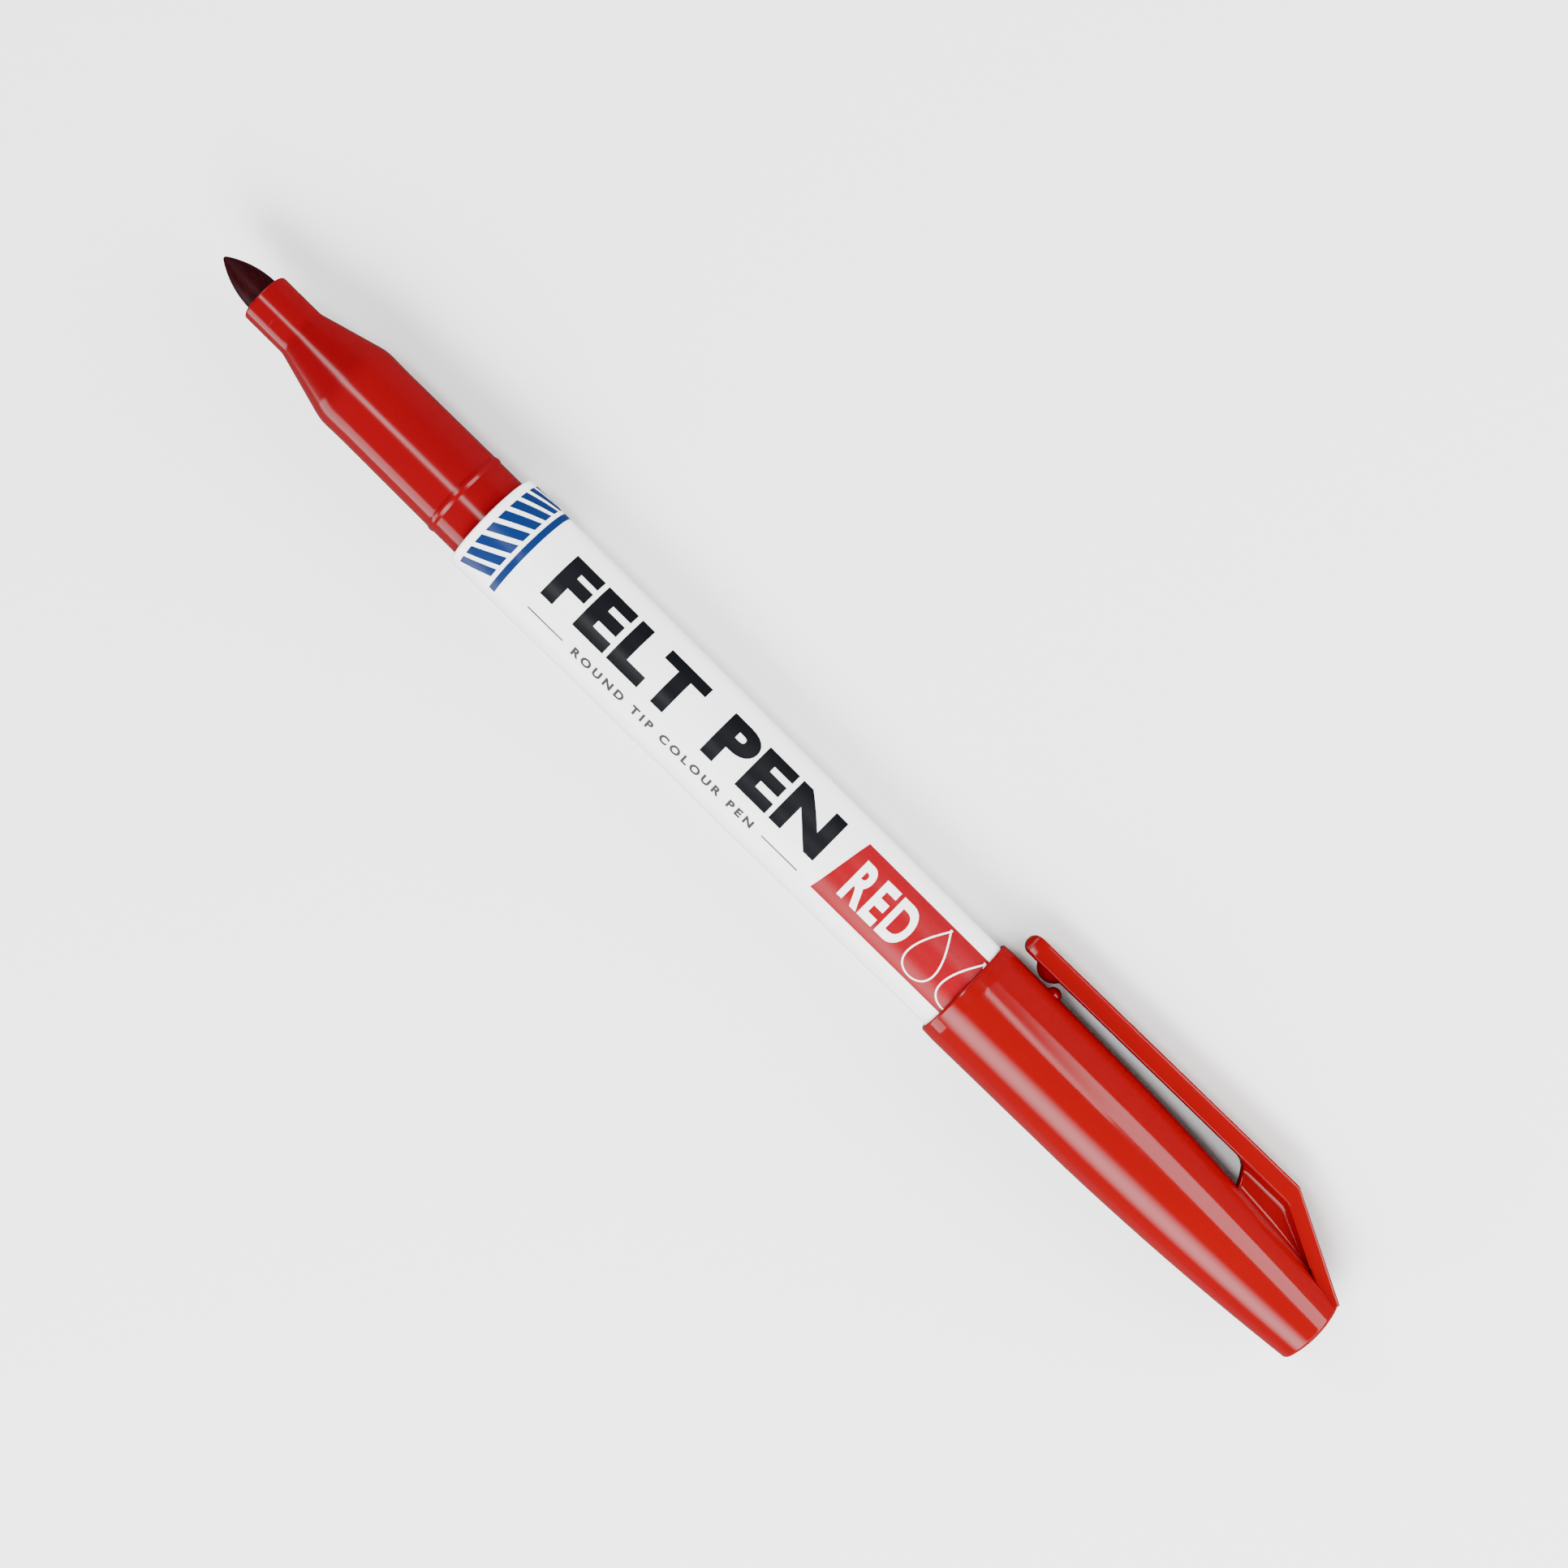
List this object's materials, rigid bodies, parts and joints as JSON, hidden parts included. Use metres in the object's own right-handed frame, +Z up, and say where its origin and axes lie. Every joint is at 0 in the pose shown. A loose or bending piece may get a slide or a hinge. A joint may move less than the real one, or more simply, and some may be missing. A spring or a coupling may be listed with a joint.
{
  "type": "felt tip marker",
  "caption": "Felt tip permanent marker with a white barrel, a bullet nib and its clip cap posted on the tail.",
  "frame": {"origin": "centre of the marker's footprint, on the surface it lies on", "axes": "+X along the barrel's axis from the nib to the cap's domed end, +Z up, and the clip is on the +Y side, 26.6 degrees below level, so that one edge of it rests on the surface with the cap"},
  "size_m": [0.1492, 0.0148, 0.0116],
  "materials": {
    "barrel_white": null,
    "front_red": "glossy red polypropylene",
    "cap_red": "glossy red polypropylene",
    "nib_felt": "bonded polyester felt soaked with dark red ink",
    "ink_fibre": "bonded fibre soaked with red ink",
    "clear_film": "thin plastic film",
    "seal_white": "soft natural polyethylene"
  },
  "bodies": {
    "pen": {"barrel": "barrel_white", "front_section": "front_red", "nib": "nib_felt", "reservoir_core": "ink_fibre", "reservoir_film": "clear_film", "tail_plug": "barrel_white"},
    "cap": {"cap_shell": "cap_red", "cap_inner_seal": "seal_white"},
    "clip": {"pocket_clip": "cap_red"}
  },
  "joints": [
    {"name": "cap_pull", "type": "slide", "parent": "pen", "child": "cap", "axis": [1, 0, 0], "range_m": [0, 0.018]},
    {"name": "pocket_clip_flex", "type": "hinge", "parent": "cap", "child": "clip", "pos_m": [0.05681, 0.00649, 0.00173], "axis": [0, -0.4479, -0.8941], "range_deg": [0, 2.5], "stiffness_Nm_per_rad": 0.3}
  ]
}
